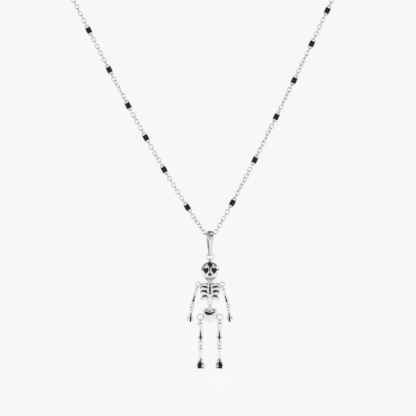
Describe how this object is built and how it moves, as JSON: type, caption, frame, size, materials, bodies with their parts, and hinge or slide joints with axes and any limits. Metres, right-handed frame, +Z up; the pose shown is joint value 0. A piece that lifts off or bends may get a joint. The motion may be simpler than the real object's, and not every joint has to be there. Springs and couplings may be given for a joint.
{
  "type": "jointed skeleton pendant necklace",
  "caption": "Small silver skeleton pendant with ring-jointed limbs, hung by a tapered bail on a fine cable chain with black enamel stations.",
  "frame": {"origin": "the wearer's neck: straight above the pendant, level with the chain's two upper ends", "axes": "+Z up; the skeleton faces -Y; +X to the viewer's right"},
  "size_m": [0.0893, 0.0056, 0.125],
  "materials": {
    "polished_silver": "polished silver with darker hollows",
    "black_enamel": "glossy black enamel",
    "spring_steel": "plain spring steel"
  },
  "bodies": {
    "chain": {"chain_centre_link": "polished_silver", "chain_links_left": "polished_silver", "chain_links_right": "polished_silver", "station_links_left": "polished_silver", "station_links_right": "polished_silver", "station_enamel_left": "black_enamel", "station_enamel_right": "black_enamel", "end_ring_left": "polished_silver", "end_ring_right": "polished_silver", "clasp_body": "polished_silver", "clasp_rivet": "polished_silver", "clasp_spring": "spring_steel"},
    "clasp_lever": {"clasp_lever": "polished_silver"},
    "bail": {"bail": "polished_silver"},
    "bail_ring": {"bail_ring": "polished_silver"},
    "torso": {"skull": "polished_silver", "skull_eyes": "black_enamel", "skull_nose": "black_enamel", "skull_brow": "black_enamel", "skull_mouth": "black_enamel", "ribcage": "polished_silver", "ribcage_enamel": "black_enamel"},
    "waist_ring": {"waist_ring": "polished_silver"},
    "pelvis": {"pelvis": "polished_silver", "pelvis_enamel": "black_enamel"},
    "shoulder_ring_left": {"shoulder_ring_left": "polished_silver"},
    "elbow_ring_left": {"elbow_ring_left": "polished_silver"},
    "hip_ring_left": {"hip_ring_left": "polished_silver"},
    "knee_ring_left": {"knee_ring_left": "polished_silver"},
    "upper_arm_left": {"upper_arm_left": "polished_silver", "upper_arm_left_enamel": "black_enamel"},
    "forearm_left": {"forearm_left": "polished_silver", "forearm_left_enamel": "black_enamel"},
    "thigh_left": {"thigh_left": "polished_silver", "thigh_left_enamel": "black_enamel"},
    "shin_left": {"shin_left": "polished_silver", "shin_left_enamel": "black_enamel"},
    "shoulder_ring_right": {"shoulder_ring_right": "polished_silver"},
    "elbow_ring_right": {"elbow_ring_right": "polished_silver"},
    "hip_ring_right": {"hip_ring_right": "polished_silver"},
    "knee_ring_right": {"knee_ring_right": "polished_silver"},
    "upper_arm_right": {"upper_arm_right": "polished_silver", "upper_arm_right_enamel": "black_enamel"},
    "forearm_right": {"forearm_right": "polished_silver", "forearm_right_enamel": "black_enamel"},
    "thigh_right": {"thigh_right": "polished_silver", "thigh_right_enamel": "black_enamel"},
    "shin_right": {"shin_right": "polished_silver", "shin_right_enamel": "black_enamel"}
  },
  "joints": [
    {"name": "clasp_lever_press", "type": "hinge", "parent": "chain", "child": "clasp_lever", "pos_m": [-0.04513, 0.0011, 0.00451], "axis": [-0.8918, 0, -0.4524], "range_deg": [-10, 0], "stiffness_Nm_per_rad": 0.00002, "springref_deg": 28.65},
    {"name": "bail_swing", "type": "hinge", "parent": "chain", "child": "bail", "pos_m": [0, 0, -0.07445], "axis": [1, 0, 0], "range_deg": [-20, 20]},
    {"name": "bail_ring_swing", "type": "hinge", "parent": "bail", "child": "bail_ring", "pos_m": [0, 0, -0.07963], "axis": [1, 0, 0], "range_deg": [-35, 35]},
    {"name": "torso_sway", "type": "hinge", "parent": "bail_ring", "child": "torso", "pos_m": [0, 0, -0.0807], "axis": [0, 1, 0], "range_deg": [-25, 25]},
    {"name": "waist_ring_swing", "type": "hinge", "parent": "torso", "child": "waist_ring", "pos_m": [0, 0, -0.094], "axis": [-1, 0, 0], "range_deg": [-35, 45]},
    {"name": "pelvis_sway", "type": "hinge", "parent": "waist_ring", "child": "pelvis", "pos_m": [0, 0, -0.09468], "axis": [0, 1, 0], "range_deg": [-8, 8]},
    {"name": "shoulder_spread_left", "type": "hinge", "parent": "torso", "child": "shoulder_ring_left", "pos_m": [-0.0036, 0, -0.08905], "axis": [0, 1, 0], "range_deg": [0, 45]},
    {"name": "arm_swing_left", "type": "hinge", "parent": "shoulder_ring_left", "child": "upper_arm_left", "pos_m": [-0.00383, 0, -0.08978], "axis": [-0.9542, 0, 0.299], "range_deg": [-50, 75]},
    {"name": "elbow_ring_swing_left", "type": "hinge", "parent": "upper_arm_left", "child": "elbow_ring_left", "pos_m": [-0.00523, 0, -0.09486], "axis": [-0.9542, 0, 0.299], "range_deg": [-40, 40]},
    {"name": "forearm_sway_left", "type": "hinge", "parent": "elbow_ring_left", "child": "forearm_left", "pos_m": [-0.00542, 0, -0.09545], "axis": [0, 1, 0], "range_deg": [-9, 30]},
    {"name": "hip_spread_left", "type": "hinge", "parent": "pelvis", "child": "hip_ring_left", "pos_m": [-0.0029, 0, -0.0989], "axis": [0, 1, 0], "range_deg": [-3, 34]},
    {"name": "thigh_swing_left", "type": "hinge", "parent": "hip_ring_left", "child": "thigh_left", "pos_m": [-0.0029, 0, -0.09985], "axis": [-1, 0, 0], "range_deg": [-45, 70]},
    {"name": "knee_ring_swing_left", "type": "hinge", "parent": "thigh_left", "child": "knee_ring_left", "pos_m": [-0.0028, 0, -0.10612], "axis": [-1, 0, 0], "range_deg": [-65, 20]},
    {"name": "shin_sway_left", "type": "hinge", "parent": "knee_ring_left", "child": "shin_left", "pos_m": [-0.0028, 0, -0.1068], "axis": [0, 1, 0], "range_deg": [-4, 25]},
    {"name": "shoulder_spread_right", "type": "hinge", "parent": "torso", "child": "shoulder_ring_right", "pos_m": [0.0036, 0, -0.08905], "axis": [0, -1, 0], "range_deg": [0, 45]},
    {"name": "arm_swing_right", "type": "hinge", "parent": "shoulder_ring_right", "child": "upper_arm_right", "pos_m": [0.00383, 0, -0.08978], "axis": [-0.9542, 0, -0.299], "range_deg": [-50, 75]},
    {"name": "elbow_ring_swing_right", "type": "hinge", "parent": "upper_arm_right", "child": "elbow_ring_right", "pos_m": [0.00523, 0, -0.09486], "axis": [-0.9542, 0, -0.299], "range_deg": [-40, 40]},
    {"name": "forearm_sway_right", "type": "hinge", "parent": "elbow_ring_right", "child": "forearm_right", "pos_m": [0.00542, 0, -0.09545], "axis": [0, -1, 0], "range_deg": [-9, 30]},
    {"name": "hip_spread_right", "type": "hinge", "parent": "pelvis", "child": "hip_ring_right", "pos_m": [0.0029, 0, -0.0989], "axis": [0, -1, 0], "range_deg": [-3, 34]},
    {"name": "thigh_swing_right", "type": "hinge", "parent": "hip_ring_right", "child": "thigh_right", "pos_m": [0.0029, 0, -0.09985], "axis": [-1, 0, 0], "range_deg": [-45, 70]},
    {"name": "knee_ring_swing_right", "type": "hinge", "parent": "thigh_right", "child": "knee_ring_right", "pos_m": [0.0028, 0, -0.10612], "axis": [-1, 0, 0], "range_deg": [-65, 20]},
    {"name": "shin_sway_right", "type": "hinge", "parent": "knee_ring_right", "child": "shin_right", "pos_m": [0.0028, 0, -0.1068], "axis": [0, -1, 0], "range_deg": [-4, 25]}
  ]
}
